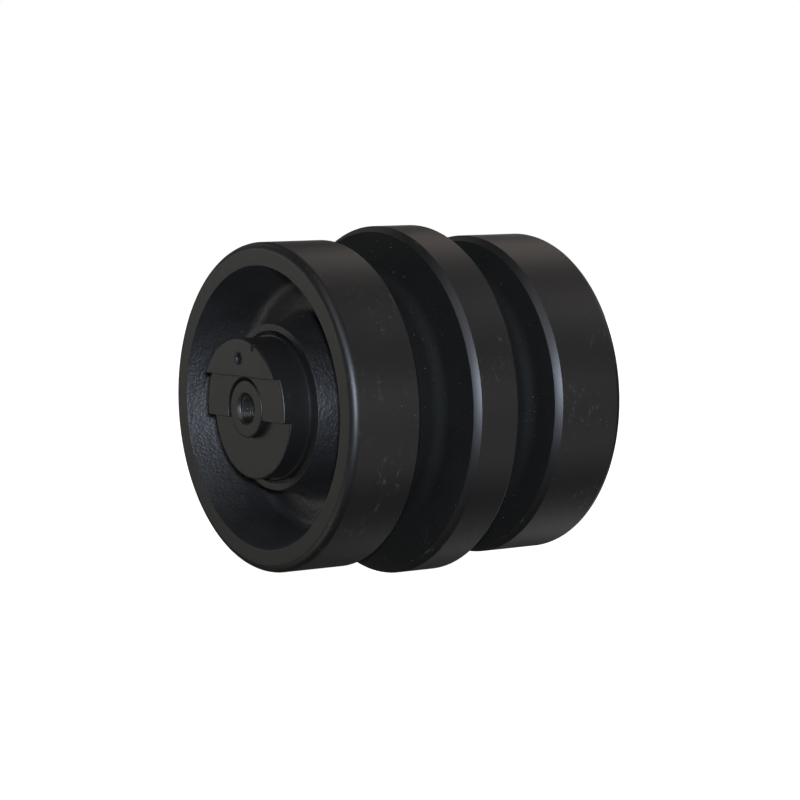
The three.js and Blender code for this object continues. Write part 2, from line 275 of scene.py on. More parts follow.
def close_mesh(mesh: bpy.types.Mesh, sharp: float = 38.0) -> None:
    """Merges poles, points the faces outwards and smooths all but the sharp edges."""
    work = bmesh.new()
    work.from_mesh(mesh)
    bmesh.ops.remove_doubles(work, verts=work.verts, dist=1e-7)
    bmesh.ops.dissolve_degenerate(work, edges=work.edges, dist=1e-8)
    bmesh.ops.recalc_face_normals(work, faces=work.faces)
    work.to_mesh(mesh)
    work.free()
    mesh.polygons.foreach_set("use_smooth", [True] * len(mesh.polygons))
    mesh.set_sharp_from_angle(angle=math.radians(sharp))
    mesh.update()


# --------------------------------------------------------------------------------------------------
# Objects
# --------------------------------------------------------------------------------------------------


def new_object(name: str, mesh: bpy.types.Mesh) -> bpy.types.Object:
    """Links a mesh into the scene as an object at the origin."""
    made = bpy.data.objects.new(name, mesh)
    bpy.context.scene.collection.objects.link(made)
    return made


def freeze(piece: bpy.types.Object) -> None:
    """Turns an object's modifiers into plain mesh."""
    graph = bpy.context.evaluated_depsgraph_get()
    mesh = bpy.data.meshes.new_from_object(
        piece.evaluated_get(graph), preserve_all_data_layers=True, depsgraph=graph
    )
    old = piece.data
    piece.modifiers.clear()
    piece.data = mesh
    bpy.data.meshes.remove(old)


def prism(name: str, outline: Sequence[tuple[float, float]], start: float, end: float) -> bpy.types.Object:
    """A prism along Y from an outline of (x, z) corners, in millimetres."""
    count = len(outline)
    points = [Vector((x, y, z)) * MM for y in (start, end) for x, z in outline]
    sides = [(k, (k + 1) % count, (k + 1) % count + count, k + count) for k in range(count)]
    mesh = bpy.data.meshes.new(name)
    mesh.from_pydata(points, [], [tuple(range(count)), tuple(range(2 * count - 1, count - 1, -1)), *sides])
    close_mesh(mesh)
    return new_object(name, mesh)


def circle(radius: float, count: int, x: float = 0.0, z: float = 0.0) -> list[tuple[float, float]]:
    """Corners of a circle in the XZ plane."""
    return [(x + radius * math.cos(a), z + radius * math.sin(a)) for a in even_angles(count)]


def rectangle(low_x: float, high_x: float, low_z: float, high_z: float) -> list[tuple[float, float]]:
    """Corners of a rectangle in the XZ plane."""
    return [(low_x, low_z), (high_x, low_z), (high_x, high_z), (low_x, high_z)]


def carve(piece: bpy.types.Object, cutters: Sequence[bpy.types.Object]) -> None:
    """Cuts each cutter out of a piece and removes the cutters."""
    for cutter in cutters:
        cut = piece.modifiers.new("cut", "BOOLEAN")
        cut.operation = "DIFFERENCE"
        cut.solver = "EXACT"
        cut.object = cutter
    freeze(piece)
    for cutter in cutters:
        bpy.data.objects.remove(cutter)


def lock_pin_bore() -> bpy.types.Object:
    """A cutter for the right-hand lock pin's hole, which is open at the bottom."""
    low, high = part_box("right_lock_pin")
    radius = (high.x - low.x) / 2 / MM + GAP
    outline = circle(radius, 32, (low.x + high.x) / 2 / MM, (low.y + high.y) / 2 / MM)
    bore = prism("cut_pin", outline, -high.z / MM - GAP, PIN_HOLE_END)
    bore.data.transform(Matrix.Rotation(-math.pi / 2, 4, "X"))
    return bore


def dowel_bore() -> bpy.types.Object:
    """A cutter for the right-hand dowel's hole through the bush's flange into the shell."""
    low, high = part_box("right_bush_dowel")
    radius = (high.z - low.z) / 2 / MM + GAP
    outline = circle(radius, 24, (low.x + high.x) / 2 / MM)
    return prism("cut_dowel", outline, low.y / MM - GAP, high.y / MM + 1)


def at_both_ends(cutter: Callable[[], bpy.types.Object]) -> list[bpy.types.Object]:
    """One right-hand cutter for each end, the left one turned half a turn."""
    cutters = [cutter() for _ in Side]
    for side, made in zip(Side, cutters):
        made.data.transform(side.turn)
    return cutters


def dress(mesh: bpy.types.Mesh, materials: Sequence[bpy.types.Material]) -> None:
    """Gives a mesh its materials; each face keeps its number, up to the last material."""
    numbers = np.zeros(len(mesh.polygons), dtype=np.int32)
    mesh.polygons.foreach_get("material_index", numbers)
    mesh.materials.clear()
    for material in materials:
        mesh.materials.append(material)
    mesh.polygons.foreach_set("material_index", np.minimum(numbers, len(materials) - 1))


def seat(
    piece: bpy.types.Object,
    body: str,
    nodes: Sequence[str],
    materials: Sequence[bpy.types.Material],
) -> bpy.types.Object:
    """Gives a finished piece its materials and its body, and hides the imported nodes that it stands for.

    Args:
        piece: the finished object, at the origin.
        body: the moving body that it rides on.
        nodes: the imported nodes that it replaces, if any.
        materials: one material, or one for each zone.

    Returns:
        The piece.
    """
    dress(piece.data, materials)
    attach(piece, body)
    if nodes:
        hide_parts(*nodes)
    LOG.info("%s: %d faces on %s", piece.name, len(piece.data.polygons), body)
    return piece


def plant(tree: bpy.types.NodeTree, kind: str, settings: dict | None, sockets: dict) -> bpy.types.Node:
    """Adds a node to a tree.

    Args:
        tree: the node tree.
        kind: the node's full type.
        settings: its properties, if any.
        sockets: input values or links, spaces in a name written as underscores, or in0, in1 by place.

    Returns:
        The new node.
    """
    made = tree.nodes.new(kind)
    for name, value in (settings or {}).items():
        setattr(made, name, value)
    for name, value in sockets.items():
        by_place = name.startswith("in") and name[2:].isdigit()
        socket = made.inputs[int(name[2:])] if by_place else made.inputs[name.replace("_", " ")]
        if isinstance(value, bpy.types.NodeSocket):
            tree.links.new(value, socket)
        else:
            socket.default_value = value
    return made


# --------------------------------------------------------------------------------------------------
# Finishes
# --------------------------------------------------------------------------------------------------


class Shader:
    """A small builder for one material's nodes."""

    def __init__(self, name: str) -> None:
        """Starts a material with a principled shader wired to its output."""
        self.material = bpy.data.materials.new(name)
        self.material.use_nodes = True
        self.tree = self.material.node_tree
        self.surface = self.tree.nodes["Principled BSDF"]
        self.place = self.tree.nodes.new("ShaderNodeTexCoord").outputs["Object"]

    def node(self, kind: str, settings: dict | None = None, **sockets: object) -> bpy.types.Node:
        """Adds a node by its type without the ShaderNode prefix, with properties and inputs."""
        return plant(self.tree, "ShaderNode" + kind, settings, sockets)

    def noise(
        self, size: float, detail: float = 3.0, rough: float = 0.5, place: object = None
    ) -> bpy.types.NodeSocket:
        """Noise whose largest features are about size millimetres across."""
        made = self.node(
            "TexNoise", Vector=place or self.place, Scale=1 / (size * MM), Detail=detail, Roughness=rough
        )
        return made.outputs["Fac"]

    def ramp(self, value: bpy.types.NodeSocket, low: float, high: float) -> bpy.types.NodeSocket:
        """Stretches a value so that low becomes 0 and high becomes 1, with soft ends."""
        made = self.node(
            "MapRange", {"interpolation_type": "SMOOTHSTEP"}, Value=value, From_Min=low, From_Max=high
        )
        return made.outputs["Result"]

    def math(self, operation: str, first: object, second: object = 0.0) -> bpy.types.NodeSocket:
        """One arithmetic step."""
        return self.node("Math", {"operation": operation}, in0=first, in1=second).outputs[0]

    def mix(self, share: object, first: object, second: object) -> bpy.types.NodeSocket:
        """Mixes two colours."""
        made = self.node("Mix", {"data_type": "RGBA"}, in0=share)
        for index, value in ((6, first), (7, second)):
            if isinstance(value, bpy.types.NodeSocket):
                self.tree.links.new(value, made.inputs[index])
            else:
                made.inputs[index].default_value = (*value, 1.0)
        return made.outputs[2]

    def bump(self, height: object, depth: float, below: object = None) -> bpy.types.NodeSocket:
        """Adds relief of a depth in millimetres, on top of a relief below it."""
        made = self.node("Bump", Height=height, Strength=1.0, Distance=depth * MM)
        if below is not None:
            self.tree.links.new(below, made.inputs["Normal"])
        return made.outputs["Normal"]

    def finish(self, **sockets: object) -> bpy.types.Material:
        """Wires the principled shader's sockets and gives the material back."""
        for name, value in sockets.items():
            socket = self.surface.inputs[name.replace("_", " ")]
            if isinstance(value, bpy.types.NodeSocket):
                self.tree.links.new(value, socket)
            else:
                is_colour = isinstance(value, tuple) and len(value) == 3
                socket.default_value = (*value, 1.0) if is_colour else value
        return self.material


@dataclass(frozen=True)
class BlackPaint:
    """Thin black paint over iron, sprayed over turned or rough cast skin."""

    name: str
    colour: Colour
    mark_colour: Colour
    roughness: float
    roughness_spread: float = 0.10
    peel_size: float = 1.2
    peel_depth: float = 0.02
    lump_size: float = 5.0
    lump_depth: float = 0.0
    ring_pitch: float = 0.0
    ring_depth: float = 0.0
    scuffs: float = 0.0
    dust: float = 0.0
    specular: float = 0.5

    def build(self) -> bpy.types.Material:
        """Builds the material."""
        shader = Shader(self.name)
        cloud = shader.ramp(shader.noise(34, 4, 0.6), 0.3, 0.7)
        grain = shader.ramp(shader.noise(1.1, 2, 0.6), 0.25, 0.75)
        colour = shader.mix(cloud, self.colour, tuple(1.16 * c for c in self.colour))
        colour = shader.mix(shader.math("MULTIPLY", grain, 0.35), colour, tuple(0.8 * c for c in self.colour))
        rough = shader.math("MULTIPLY_ADD", cloud, self.roughness_spread)
        rough.node.inputs[2].default_value = self.roughness
        normal = shader.bump(shader.noise(self.peel_size, 2, 0.5), self.peel_depth)
        if self.lump_depth > 0:
            normal = self._lumps(shader, normal)
        if self.ring_depth > 0:
            normal = shader.bump(self._rings(shader), self.ring_depth, normal)
        if self.scuffs > 0:
            mark = shader.math("MULTIPLY", self._scuff_mask(shader), self.scuffs)
            colour = shader.mix(mark, colour, self.mark_colour)
            rough = shader.math("MULTIPLY_ADD", mark, 0.12)
            rough.node.inputs[2].default_value = self.roughness + self.roughness_spread / 2
        # Pale specks: dust, and on the grooves, where the amount is highest, also painted sparkle that stands
        # in for their broken highlight.
        if self.dust > 0:
            speckled = shader.math("MULTIPLY", self._dust_and_sparkle_mask(shader), self.dust)
            colour = shader.mix(speckled, colour, self.mark_colour)
        return shader.finish(
            Base_Color=colour, Roughness=rough, Normal=normal, Specular_IOR_Level=self.specular
        )

    def _lumps(self, shader: Shader, below: bpy.types.NodeSocket) -> bpy.types.NodeSocket:
        """The pebbled skin of a sand casting under paint."""
        cells = shader.node(
            "TexVoronoi", {"feature": "SMOOTH_F1"}, Vector=shader.place, Scale=1 / (self.lump_size * MM),
            Smoothness=0.9, Randomness=1.0
        ).outputs["Distance"]
        skin = shader.math("ADD", cells, shader.noise(self.lump_size * 0.6, 3, 0.55))
        return shader.bump(skin, self.lump_depth, below)

    def _rings(self, shader: Shader) -> bpy.types.NodeSocket:
        """Faint turning marks, which follow the radius on flat faces and the axle on round ones."""
        split = shader.node("SeparateXYZ", Vector=shader.place)
        radius = shader.math(
            "SQRT",
            shader.math(
                "ADD",
                shader.math("POWER", split.outputs["X"], 2.0),
                shader.math("POWER", split.outputs["Z"], 2.0),
            ),
        )
        along = shader.math("ADD", radius, split.outputs["Y"])
        wander = shader.math("MULTIPLY", shader.noise(18, 2), 0.5 * self.ring_pitch * MM)
        turns = 2 * math.pi / (self.ring_pitch * MM)
        return shader.math("SINE", shader.math("MULTIPLY", shader.math("ADD", along, wander), turns))

    def _scuff_mask(self, shader: Shader) -> bpy.types.NodeSocket:
        """Short pale rubs that run mostly round the axle, in patches."""
        stretched = shader.node("Mapping", Vector=shader.place, Scale=(1.0, 2.0, 1.0)).outputs[0]
        streak = shader.ramp(shader.noise(9, 5, 0.75, stretched), 0.56, 0.70)
        patch = shader.ramp(shader.noise(52, 2), 0.50, 0.64)
        return shader.math("MULTIPLY", streak, patch)

    def _dust_and_sparkle_mask(self, shader: Shader) -> bpy.types.NodeSocket:
        """Fine pale specks, thicker in some patches than in others: dust, and on the grooves also painted
        sparkle that stands in for their broken highlight.
        """
        cells = shader.node("TexVoronoi", Vector=shader.place, Scale=1 / (2.6 * MM), Randomness=1.0)
        speck = shader.math("SUBTRACT", 1.0, shader.ramp(cells.outputs["Distance"], 0.1, 0.2))
        chance = shader.ramp(shader.noise(28, 3), 0.5, 0.72)
        pick = shader.node("SeparateColor", Color=cells.outputs["Color"]).outputs["Red"]
        return shader.math("MULTIPLY", shader.math("MULTIPLY", speck, chance), shader.ramp(pick, 0.35, 0.8))


@dataclass(frozen=True)
class TurnedMetal:
    """Bare turned or ground metal, as inside the roller."""

    name: str
    colour: Colour
    roughness: float
    metallic: float = 1.0
    ring_depth: float = 0.004

    def build(self) -> bpy.types.Material:
        """Builds the material."""
        shader = Shader(self.name)
        cloud = shader.ramp(shader.noise(9, 4, 0.6), 0.3, 0.7)
        colour = shader.mix(cloud, self.colour, tuple(0.82 * c for c in self.colour))
        rough = shader.math("MULTIPLY_ADD", cloud, 0.12)
        rough.node.inputs[2].default_value = self.roughness
        split = shader.node("SeparateXYZ", Vector=shader.place)
        phase = shader.math("MULTIPLY", split.outputs["Y"], 2 * math.pi / (0.5 * MM))
        normal = shader.bump(shader.math("SINE", phase), self.ring_depth)
        return shader.finish(Base_Color=colour, Roughness=rough, Metallic=self.metallic, Normal=normal)


@dataclass(frozen=True)
class SealRubber:
    """Matt black nitrile rubber with a faint bloom."""

    name: str
    colour: Colour
    roughness: float

    def build(self) -> bpy.types.Material:
        """Builds the material."""
        shader = Shader(self.name)
        bloom = shader.ramp(shader.noise(6, 4, 0.6), 0.35, 0.75)
        colour = shader.mix(bloom, self.colour, tuple(1.7 * c for c in self.colour))
        rough = shader.math("MULTIPLY_ADD", bloom, 0.15)
        rough.node.inputs[2].default_value = self.roughness
        return shader.finish(
            Base_Color=colour, Roughness=rough, Normal=shader.bump(shader.noise(0.5, 2), 0.01)
        )


@dataclass
class Finishes:
    """Every finish on the roller, each built once."""

    tread: bpy.types.Material = field(init=False)
    face: bpy.types.Material = field(init=False)
    cast: bpy.types.Material = field(init=False)
    groove: bpy.types.Material = field(init=False)
    bore: bpy.types.Material = field(init=False)
    collar: bpy.types.Material = field(init=False)
    bronze: bpy.types.Material = field(init=False)
    seal_iron: bpy.types.Material = field(init=False)
    rubber: bpy.types.Material = field(init=False)
    pin: bpy.types.Material = field(init=False)
    grit: bpy.types.Material = field(init=False)
    dust: bpy.types.Material = field(init=False)

    def __post_init__(self) -> None:
        """Builds the materials."""
        black = (0.0036, 0.0033, 0.0031)
        turned = (0.0044, 0.0042, 0.0038)
        # Pale colour of scuffs and specks: wear and dust, and on the grooves also painted sparkle.
        dust_wear_and_sparkle = (0.050, 0.049, 0.047)
        self.tread = BlackPaint(
            "black_paint_tread", black, (0.11, 0.108, 0.104), 0.44, 0.05, ring_pitch=0.8, ring_depth=0.003,
            scuffs=0.4, dust=0.8
        ).build()
        self.face = BlackPaint(
            "black_paint_face", turned, dust_wear_and_sparkle, 0.50, 0.05, ring_pitch=0.6, ring_depth=0.004, scuffs=0.1
        ).build()
        self.cast = BlackPaint(
            "black_paint_cast", (0.0016, 0.0017, 0.0018), dust_wear_and_sparkle, 0.50, 0.06, peel_size=1.1, peel_depth=0.10,
            lump_size=2.4, lump_depth=0.26, dust=0.3, specular=0.9
        ).build()
        # Grooves: little gloss, and many pale specks that are partly dust and partly painted sparkle standing
        # in for the highlight.
        self.groove = BlackPaint(
            "black_paint_groove", (0.0060, 0.0064, 0.0056), dust_wear_and_sparkle, 0.72, 0.08, peel_size=1.1, peel_depth=0.10,
            lump_size=2.2, lump_depth=0.20, dust=1.0, specular=0.13
        ).build()
        self.collar = BlackPaint(
            "black_paint_collar", turned, dust_wear_and_sparkle, 0.48, 0.05, ring_pitch=0.5, ring_depth=0.002, scuffs=0.15,
            dust=0.15
        ).build()
        self.bore = TurnedMetal("turned_iron_bore", (0.30, 0.29, 0.28), 0.34).build()
        self.bronze = TurnedMetal("bush_bronze", (0.62, 0.43, 0.20), 0.30).build()
        self.seal_iron = TurnedMetal("lapped_seal_iron", (0.52, 0.53, 0.54), 0.18, ring_depth=0.002).build()
        self.pin = TurnedMetal("blackened_steel", (0.075, 0.072, 0.07), 0.38).build()
        self.rubber = SealRubber("nitrile_rubber", (0.012, 0.012, 0.012), 0.6).build()
        self.grit = BlackPaint("painted_grit", (0.002, 0.002, 0.0021), dust_wear_and_sparkle, 0.42).build()
        # Pale specks: dust, and on the grooves and cast skin also painted sparkle.
        self.dust = BlackPaint("pale_dust_and_sparkle", (0.30, 0.30, 0.29), dust_wear_and_sparkle, 0.8).build()

    def by_zone(self) -> list[bpy.types.Material]:
        """The materials of a piece with zones, in the order of the zones' numbers."""
        return [self.tread, self.face, self.cast, self.bore, self.groove]


# --------------------------------------------------------------------------------------------------
# Roller shell
# --------------------------------------------------------------------------------------------------


@dataclass
class CastSkin:
    """Uneven cast skin: a few octaves of waves in every direction, fixed by a seed."""

    seed: int = 7
    octaves: tuple[tuple[float, float], ...] = ((34.0, 0.09), (13.0, 0.05), (5.6, 0.035))
    waves: int = 26

    def height(self, points: np.ndarray) -> np.ndarray:
        """The skin's height in millimetres at points in millimetres."""
        draw = np.random.default_rng(self.seed)
        total = np.zeros(points.shape[:-1])
        for wavelength, depth in self.octaves:
            heading = draw.normal(size=(self.waves, 3))
            heading /= np.linalg.norm(heading, axis=1)[:, None]
            stretch = draw.uniform(0.75, 1.35, self.waves)
            phase = draw.uniform(0, 2 * math.pi, self.waves)
            for k in range(self.waves):
                wave = heading[k] * 2 * math.pi * stretch[k] / wavelength
                total += depth * math.sqrt(2 / self.waves) * np.sin(points @ wave + phase[k])
        return total


@dataclass
class RollerShell:
    """The forged shell: two treads, a guide flange between two grooves, an end cup and hub at each end."""

    tread_inset: float = 9.0
    flange_width: float = 40.0
    groove_width: float = 40.0
    groove_depth: float = 30.0
    flank_lean: float = 3.0
    groove_fillet: float = 9.0
    tread_edge: float = 5.6
    tread_edge_crown: float = 0.86
    tread_chamfer: float = 4.5
    crown: float = 0.28
    rim_wall: float = 17.0
    cup_depth: float = 46.0
    cup_taper: float = 10.5
    cup_fillet: float = 8.0
    hub_inset: float = 10.2
    hub_radius: float = 60.6
    hub_bore: float = 55.4
    hub_taper: float = 6.0
    hub_fillet: float = 7.0
    seal_step: float = 93.75
    seal_pocket_radius: float = 49.4
    seal_pocket_floor: float = 84.35
    bush_gap: float = 0.3
    pocket_gap: float = 0.6
    reservoir_depth: float = 5.7
    columns: int = 232
    cast_step: float = 2.8
    skin: CastSkin = field(default_factory=CastSkin)

    def section(self) -> Section:
        """The shell's half section, from the middle of the flange round to the oil reservoir."""
        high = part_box("roller_shell")[1]
        flange_radius, end = high.z / MM, high.y / MM
        tread = flange_radius - self.tread_inset
        groove = tread - self.groove_depth
        flange_side = self.flange_width / 2
        rim_side = flange_side + self.groove_width
        mouth = tread - self.rim_wall
        floor = end - self.cup_depth
        hub_face = end - self.hub_inset
        bush_low, bush_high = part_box("right_flanged_bush")
        bush_flange = bush_high.z / MM + self.pocket_gap
        bush_bore = bush_flange - self.pocket_gap - 6.0 + self.bush_gap
        bush_back = bush_high.y / MM - 4.0 - self.bush_gap
        bush_end = bush_low.y / MM - self.bush_gap
        cast = {"zone": Zone.CAST, "step": self.cast_step}
        groove_skin = {"zone": Zone.GROOVE, "step": self.cast_step}
        return Section(
            [
                Corner(flange_radius, 0, zone=Zone.TREAD, step=5),
                Corner(flange_radius, flange_side, self.tread_chamfer, crown=self.crown, **groove_skin),
                Corner(groove, flange_side + self.flank_lean, self.groove_fillet, **groove_skin),
                Corner(groove, rim_side - self.flank_lean, self.groove_fillet, **groove_skin),
                Corner(tread, rim_side, self.tread_chamfer, Zone.TREAD, 6, self.crown),
                Corner(tread, end, self.tread_edge, Zone.FACE, 4, self.tread_edge_crown),
                Corner(mouth, end, 0.35, **cast),
                Corner(mouth - self.cup_taper, floor, self.cup_fillet, **cast),
                Corner(self.hub_radius + self.hub_taper, floor, self.hub_fillet, **cast),
                Corner(self.hub_radius, hub_face, 0.4, Zone.FACE, 3),
                Corner(self.hub_bore, hub_face, 0.4),
                Corner(self.hub_bore, self.seal_step),
                Corner(self.seal_pocket_radius, self.seal_step, 0.5),
                Corner(self.seal_pocket_radius, self.seal_pocket_floor, 1.0),
                Corner(bush_flange, self.seal_pocket_floor, 0.4),
                Corner(bush_flange, bush_back),
                Corner(bush_bore, bush_back, 0.4, step=12),
                Corner(bush_bore, bush_end),
                Corner(bush_bore + self.reservoir_depth, bush_end - self.reservoir_depth, step=12),
                Corner(bush_bore + self.reservoir_depth, 0),
            ],
            mirrored=True,
            arc_step=13,
        )

    def relief(self, section: Section) -> Relief:
        """The cast skin's lift, faded out where the skin meets a turned edge."""
        rows, zones = section.rows()
        lengths = np.linalg.norm(np.roll(rows, -1, axis=0) - rows, axis=1)
        cast_edge = np.array([zone in (Zone.CAST, Zone.GROOVE) for zone in zones])
        reach = np.where(cast_edge & np.roll(cast_edge, 1), np.inf, 0.0)
        for _ in range(2 * len(rows)):
            forward = np.roll(reach, 1) + np.roll(lengths, 1)
            backward = np.roll(reach, -1) + lengths
            following = np.minimum(reach, np.minimum(forward, backward))
            if np.array_equal(following, reach):
                break
            reach = following
        share = np.clip(reach / 5.0, 0, 1)
        share = share * share * (3 - 2 * share)

        def lift(points: np.ndarray, row_numbers: np.ndarray, angles: np.ndarray) -> np.ndarray:
            """Lift of each vertex in millimetres."""
            return self.skin.height(points) * share[row_numbers]

        return lift

    def build(self, finishes: Finishes) -> bpy.types.Object:
        """Builds and dresses the shell."""
        section = self.section()
        mesh = turned_mesh("shell_casting", section, even_angles(self.columns), self.relief(section))
        dress(mesh, finishes.by_zone())
        shell = new_object("shell_casting", mesh)
        carve(shell, at_both_ends(dowel_bore))
        close_mesh(shell.data, sharp=18)
        return seat(shell, SHELL_BODY, ["roller_shell"], finishes.by_zone())


# --------------------------------------------------------------------------------------------------
# Scattered grit and dust, by Geometry Nodes
# --------------------------------------------------------------------------------------------------


class GeometryTree:
    """A small builder for one Geometry Nodes tree with named inputs."""

    def __init__(self, name: str) -> None:
        """Starts a tree with a geometry output."""
        self.tree = bpy.data.node_groups.new(name, "GeometryNodeTree")
        self.tree.is_modifier = True
        self.tree.interface.new_socket("Geometry", in_out="INPUT", socket_type="NodeSocketGeometry")
        self.tree.interface.new_socket("Geometry", in_out="OUTPUT", socket_type="NodeSocketGeometry")
        self.start = self.tree.nodes.new("NodeGroupInput")
        self.end = self.tree.nodes.new("NodeGroupOutput")

    def input(self, name: str, kind: str, value: object = None) -> bpy.types.NodeSocket:
        """Adds a named input and gives its socket inside the tree."""
        made = self.tree.interface.new_socket(name, in_out="INPUT", socket_type="NodeSocket" + kind)
        if value is not None:
            made.default_value = value
        return self.start.outputs[name]

    def node(self, kind: str, settings: dict | None = None, **sockets: object) -> bpy.types.Node:
        """Adds a node by its full type, with properties and inputs."""
        return plant(self.tree, kind, settings, sockets)

    def close(self, geometry: bpy.types.NodeSocket, material: bpy.types.NodeSocket) -> bpy.types.NodeTree:
        """Ends the tree in Realize Instances and Set Material."""
        real = self.node("GeometryNodeRealizeInstances", Geometry=geometry)
        dressed = self.node("GeometryNodeSetMaterial", Geometry=real.outputs[0], Material=material)
        self.tree.links.new(dressed.outputs[0], self.end.inputs[0])
        return self.tree


def grown(
    name: str, base: bpy.types.Mesh, tree: bpy.types.NodeTree, values: dict[str, object]
) -> bpy.types.Object:
    """Runs a Geometry Nodes tree on a mesh.

    Args:
        name: the new piece's name.
        base: the mesh that the tree starts from.
        tree: the tree.
        values: its inputs by name.

    Returns:
        An object with the result as a plain mesh and no modifier.
    """
    piece = new_object(name, base)
    growth = piece.modifiers.new("growth", "NODES")
    growth.node_group = tree
    for item in tree.interface.items_tree:
        if item.item_type == "SOCKET" and item.in_out == "INPUT" and item.name in values:
            growth[item.identifier] = values[item.name]
    freeze(piece)
    return piece


def scatter_tree() -> bpy.types.NodeTree:
    """Low domes strewn over a surface: density, patches, size and seed are inputs."""
    grow = GeometryTree("scatter_domes")
    density = grow.input("Density", "Float", 4000.0)
    patch = grow.input("Patch", "Float", 30.0)
    thin = grow.input("Thin", "Float", 1.0)
    size = grow.input("Size", "Float", 0.0006)
    flatness = grow.input("Flatness", "Float", 0.45)
    seed = grow.input("Seed", "Int", 1)
    material = grow.input("Material", "Material")
    cloud = grow.node("ShaderNodeTexNoise", Scale=patch, Detail=2.0)
    thick = grow.node(
        "ShaderNodeMapRange", Value=cloud.outputs["Fac"], From_Min=0.53, From_Max=0.66, To_Min=thin,
        To_Max=1.0
    )
    local = grow.node("ShaderNodeMath", {"operation": "MULTIPLY"}, in0=thick.outputs["Result"], in1=density)
    spots = grow.node(
        "GeometryNodeDistributePointsOnFaces", {"distribute_method": "RANDOM"},
        Mesh=grow.start.outputs["Geometry"], Density=local.outputs[0], Seed=seed
    )
    dome = grow.node("GeometryNodeMeshIcoSphere", Radius=size, Subdivisions=2)
    squeeze = grow.node("ShaderNodeCombineXYZ", X=1.0, Y=1.0, Z=flatness)
    flat = grow.node("GeometryNodeTransform", Geometry=dome.outputs["Mesh"], Scale=squeeze.outputs[0])
    spread = grow.node("FunctionNodeRandomValue", {"data_type": "FLOAT"}, Seed=seed)
    spread.inputs[2].default_value = 0.4
    spread.inputs[3].default_value = 1.5
    placed = grow.node(
        "GeometryNodeInstanceOnPoints", Points=spots.outputs["Points"], Instance=flat.outputs["Geometry"],
        Rotation=spots.outputs["Rotation"], Scale=spread.outputs[1]
    )
    smooth = grow.node("GeometryNodeSetShadeSmooth", Geometry=placed.outputs["Instances"])
    return grow.close(smooth.outputs[0], material)


def thread_tree() -> bpy.types.NodeTree:
    """A helical thread about Y: radius, pitch, turns and ridge height are inputs."""
    grow = GeometryTree("helical_thread")
    radius = grow.input("Radius", "Float", 0.005)
    pitch = grow.input("Pitch", "Float", 0.001)
    turns = grow.input("Turns", "Float", 8.0)
    ridge = grow.input("Ridge", "Float", 0.0005)
    offset = grow.input("Offset", "Vector")
    material = grow.input("Material", "Material")
    height = grow.node("ShaderNodeMath", {"operation": "MULTIPLY"}, in0=pitch, in1=turns)
    helix = grow.node(
        "GeometryNodeCurveSpiral", Resolution=40, Rotations=turns, Start_Radius=radius, End_Radius=radius,
        Height=height.outputs[0]
    )
    tooth = grow.node("GeometryNodeCurvePrimitiveCircle", {"mode": "RADIUS"}, Resolution=4, Radius=ridge)
    swept = grow.node(
        "GeometryNodeCurveToMesh", Curve=helix.outputs[0], Profile_Curve=tooth.outputs["Curve"],
        Fill_Caps=True
    )
    laid = grow.node(
        "GeometryNodeTransform", Geometry=swept.outputs[0], Rotation=(math.pi / 2, 0, 0), Translation=offset
    )
    return grow.close(laid.outputs[0], material)


@dataclass
class CastingGrit:
    """Sand nibs under the paint, and pale specks on the shell's cast skin: dust, and in the grooves also
    painted sparkle.
    """

    nib_density: float = 5200.0
    nib_size: float = 0.55
    nib_flatness: float = 0.42
    nib_thin: float = 0.5
    speck_density: float = 14000.0
    speck_size: float = 0.17
    speck_flatness: float = 0.7
    speck_thin: float = 0.02
    tread_density: float = 5000.0
    tread_size: float = 0.13
    tread_flatness: float = 0.4
    tread_thin: float = 0.06
    patch_size: float = 42.0
    seed: int = 11

    def _skin(self, shell: bpy.types.Object, kept: Sequence[Zone]) -> bpy.types.Mesh:
        """A copy of the shell's faces in the zones kept."""
        skin = shell.data.copy()
        work = bmesh.new()
        work.from_mesh(skin)
        numbers = {zone.value for zone in kept}
        other = [face for face in work.faces if face.material_index not in numbers]
        bmesh.ops.delete(work, geom=other, context="FACES")
        work.to_mesh(skin)
        work.free()
        return skin

    def build(self, shell: bpy.types.Object, finishes: Finishes) -> None:
        """Strews nibs and pale specks over the shell's cast skin, which are dust and in the grooves also
        painted sparkle, and a little dust over its treads.
        """
        tree = scatter_tree()
        skin, treads = (Zone.CAST, Zone.GROOVE), (Zone.TREAD,)
        nibs = (self.nib_density, self.nib_thin, self.nib_size, self.nib_flatness)
        specks = (self.speck_density, self.speck_thin, self.speck_size, self.speck_flatness)
        on_treads = (self.tread_density, self.tread_thin, self.tread_size, self.tread_flatness)
        # The specks on the cast skin and grooves are partly dust and partly painted sparkle; those on the
        # treads are dust.
        kinds = (
            ("sand_nibs", skin, nibs, finishes.grit),
            ("dust_specks", skin, specks, finishes.dust),
            ("tread_specks", treads, on_treads, finishes.dust),
        )
        for number, (name, kept, (density, thin, size, flatness), material) in enumerate(kinds):
            values = {
                "Density": density, "Patch": 1 / (self.patch_size * MM), "Thin": thin, "Size": size * MM,
                "Flatness": flatness, "Seed": self.seed + number, "Material": material,
            }
            piece = grown(name, self._skin(shell, kept), tree, values)
            seat(piece, SHELL_BODY, [], [material])


# --------------------------------------------------------------------------------------------------
# Shaft
# --------------------------------------------------------------------------------------------------


